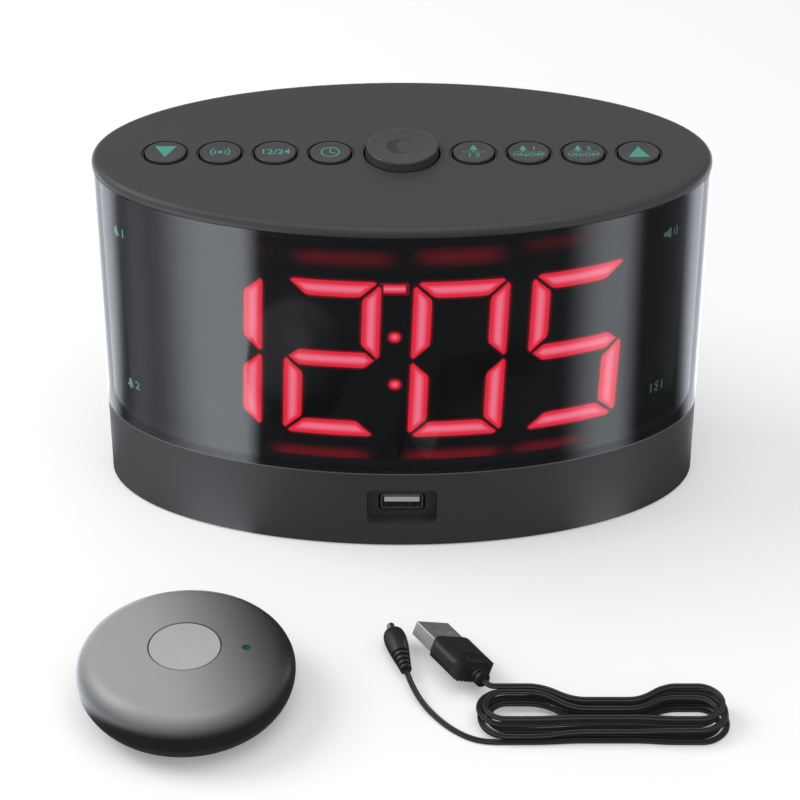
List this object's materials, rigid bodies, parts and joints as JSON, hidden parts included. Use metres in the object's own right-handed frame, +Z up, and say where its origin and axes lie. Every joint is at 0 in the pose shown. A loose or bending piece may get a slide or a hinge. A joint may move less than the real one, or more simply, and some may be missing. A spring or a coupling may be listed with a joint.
{
  "type": "bed shaker alarm clock",
  "caption": "Oval alarm clock with a wide smoked window over large red digits and a row of lid buttons, with a round wireless shaker and its coiled charging lead.",
  "frame": {"origin": "centre of the clock's oval foot ring, on the surface that it stands on", "axes": "+Z up, -Y out of the window towards the reader, +X to the reader's right"},
  "size_m": [0.1912, 0.1964, 0.1202],
  "materials": {
    "case_black": "fine moulded texture, satin matt",
    "smoked_window": "smoked clear plastic, polished",
    "button_black": "satin gloss",
    "foot_rubber": "matt rubber",
    "screw_steel": "zinc plated",
    "door_black": "fine moulded texture",
    "cell_steel": "satin steel",
    "inner_black": "moulded",
    "spring_metal": "tin plated sheet",
    "board_green": "solder mask",
    "switch_black": "moulded",
    "panel_black": "smooth black",
    "segment_red": "lit diffuser",
    "segment_dark": "unlit diffuser",
    "reflector_white": "moulded white",
    "chip_white": "encapsulated",
    "socket_plastic": "moulded",
    "contact_gold": "plated",
    "can_steel": "plated sheet",
    "aerial_copper": "enamelled wire",
    "cone_paper": "pressed paper",
    "ribbon_grey": "smooth",
    "puck_black": "satin, fine spark texture",
    "puck_button_grey": "fine grain",
    "lamp_green": "clear tinted",
    "battery_wrap": "foil pouch",
    "weight_brass": "turned",
    "cord_black": "smooth PVC jacket",
    "plug_black": "moulded PVC",
    "plug_metal": "nickel plated"
  },
  "bodies": {
    "clock": {"lid": "case_black", "rear_cover": "case_black", "base_shell": "case_black", "front_window": "smoked_window", "foot_ring": "foot_rubber", "case_screws": "screw_steel", "board_screws": "screw_steel", "coin_cell": "cell_steel", "cell_holder": "inner_black", "power_jack": "inner_black", "cell_contact": "spring_metal", "usb_socket_shell": "spring_metal", "key_board": "board_green", "display_board": "board_green", "main_board": "board_green", "radio_board": "board_green", "key_switches": "switch_black", "display_panel": "panel_black", "lit_segments": "segment_red", "unlit_segments": "segment_dark", "light_box": "reflector_white", "display_leds": "chip_white", "usb_socket_tongue": "socket_plastic", "usb_plug_tongue": "socket_plastic", "usb_socket_contacts": "contact_gold", "radio_can": "can_steel", "speaker_frame": "can_steel", "aerial": "aerial_copper", "speaker_cone": "cone_paper", "key_ribbon": "ribbon_grey", "display_ribbon": "ribbon_grey", "cord_run": "cord_black", "cord_hank": "cord_black", "jack_plug_body": "plug_black", "usb_plug_body": "plug_black", "jack_plug_barrel": "plug_metal", "usb_plug_shell": "plug_metal"},
    "snooze_key": {"snooze_button": "button_black"},
    "down_key": {"down_button": "button_black"},
    "pairing_key": {"pairing_button": "button_black"},
    "hour_format_key": {"hour_format_button": "button_black"},
    "time_key": {"time_button": "button_black"},
    "alarm_set_key": {"alarm_set_button": "button_black"},
    "alarm_1_key": {"alarm_1_button": "button_black"},
    "alarm_2_key": {"alarm_2_button": "button_black"},
    "up_key": {"up_button": "button_black"},
    "cell_door": {"battery_door": "door_black"},
    "puck": {"puck_top": "puck_black", "puck_bottom": "puck_black", "puck_foot": "foot_rubber", "puck_screws": "screw_steel", "puck_switch": "switch_black", "puck_lamp": "lamp_green", "puck_board": "board_green", "puck_battery": "battery_wrap", "motor_can": "can_steel", "motor_bracket": "inner_black", "puck_jack": "inner_black"},
    "puck_key": {"puck_button": "puck_button_grey"},
    "shaker_weight": {"motor_weight": "weight_brass"}
  },
  "joints": [
    {"name": "snooze_press", "type": "slide", "parent": "clock", "child": "snooze_key", "axis": [0, 0, -1], "range_m": [0, 0.001], "stiffness_N_per_m": 600},
    {"name": "down_press", "type": "slide", "parent": "clock", "child": "down_key", "axis": [0, 0, -1], "range_m": [0, 0.0008], "stiffness_N_per_m": 500},
    {"name": "pairing_press", "type": "slide", "parent": "clock", "child": "pairing_key", "axis": [0, 0, -1], "range_m": [0, 0.0008], "stiffness_N_per_m": 500},
    {"name": "hour_format_press", "type": "slide", "parent": "clock", "child": "hour_format_key", "axis": [0, 0, -1], "range_m": [0, 0.0008], "stiffness_N_per_m": 500},
    {"name": "time_press", "type": "slide", "parent": "clock", "child": "time_key", "axis": [0, 0, -1], "range_m": [0, 0.0008], "stiffness_N_per_m": 500},
    {"name": "alarm_set_press", "type": "slide", "parent": "clock", "child": "alarm_set_key", "axis": [0, 0, -1], "range_m": [0, 0.0008], "stiffness_N_per_m": 500},
    {"name": "alarm_1_press", "type": "slide", "parent": "clock", "child": "alarm_1_key", "axis": [0, 0, -1], "range_m": [0, 0.0008], "stiffness_N_per_m": 500},
    {"name": "alarm_2_press", "type": "slide", "parent": "clock", "child": "alarm_2_key", "axis": [0, 0, -1], "range_m": [0, 0.0008], "stiffness_N_per_m": 500},
    {"name": "up_press", "type": "slide", "parent": "clock", "child": "up_key", "axis": [0, 0, -1], "range_m": [0, 0.0008], "stiffness_N_per_m": 500},
    {"name": "door_turn", "type": "hinge", "parent": "clock", "child": "cell_door", "pos_m": [-0.034, 0, 0.002], "axis": [0, 0, 1], "range_deg": [0, 90]},
    {"name": "puck_lift", "type": "slide", "parent": "clock", "child": "puck", "axis": [0, 0, 1], "range_m": [0, 0.08]},
    {"name": "puck_press", "type": "slide", "parent": "puck", "child": "puck_key", "axis": [0, 0, -1], "range_m": [0, 0.0005], "stiffness_N_per_m": 500},
    {"name": "weight_spin", "type": "hinge", "parent": "puck", "child": "shaker_weight", "pos_m": [-0.0713, -0.1275, 0.0082], "axis": [1, 0, 0], "continuous": true}
  ]
}
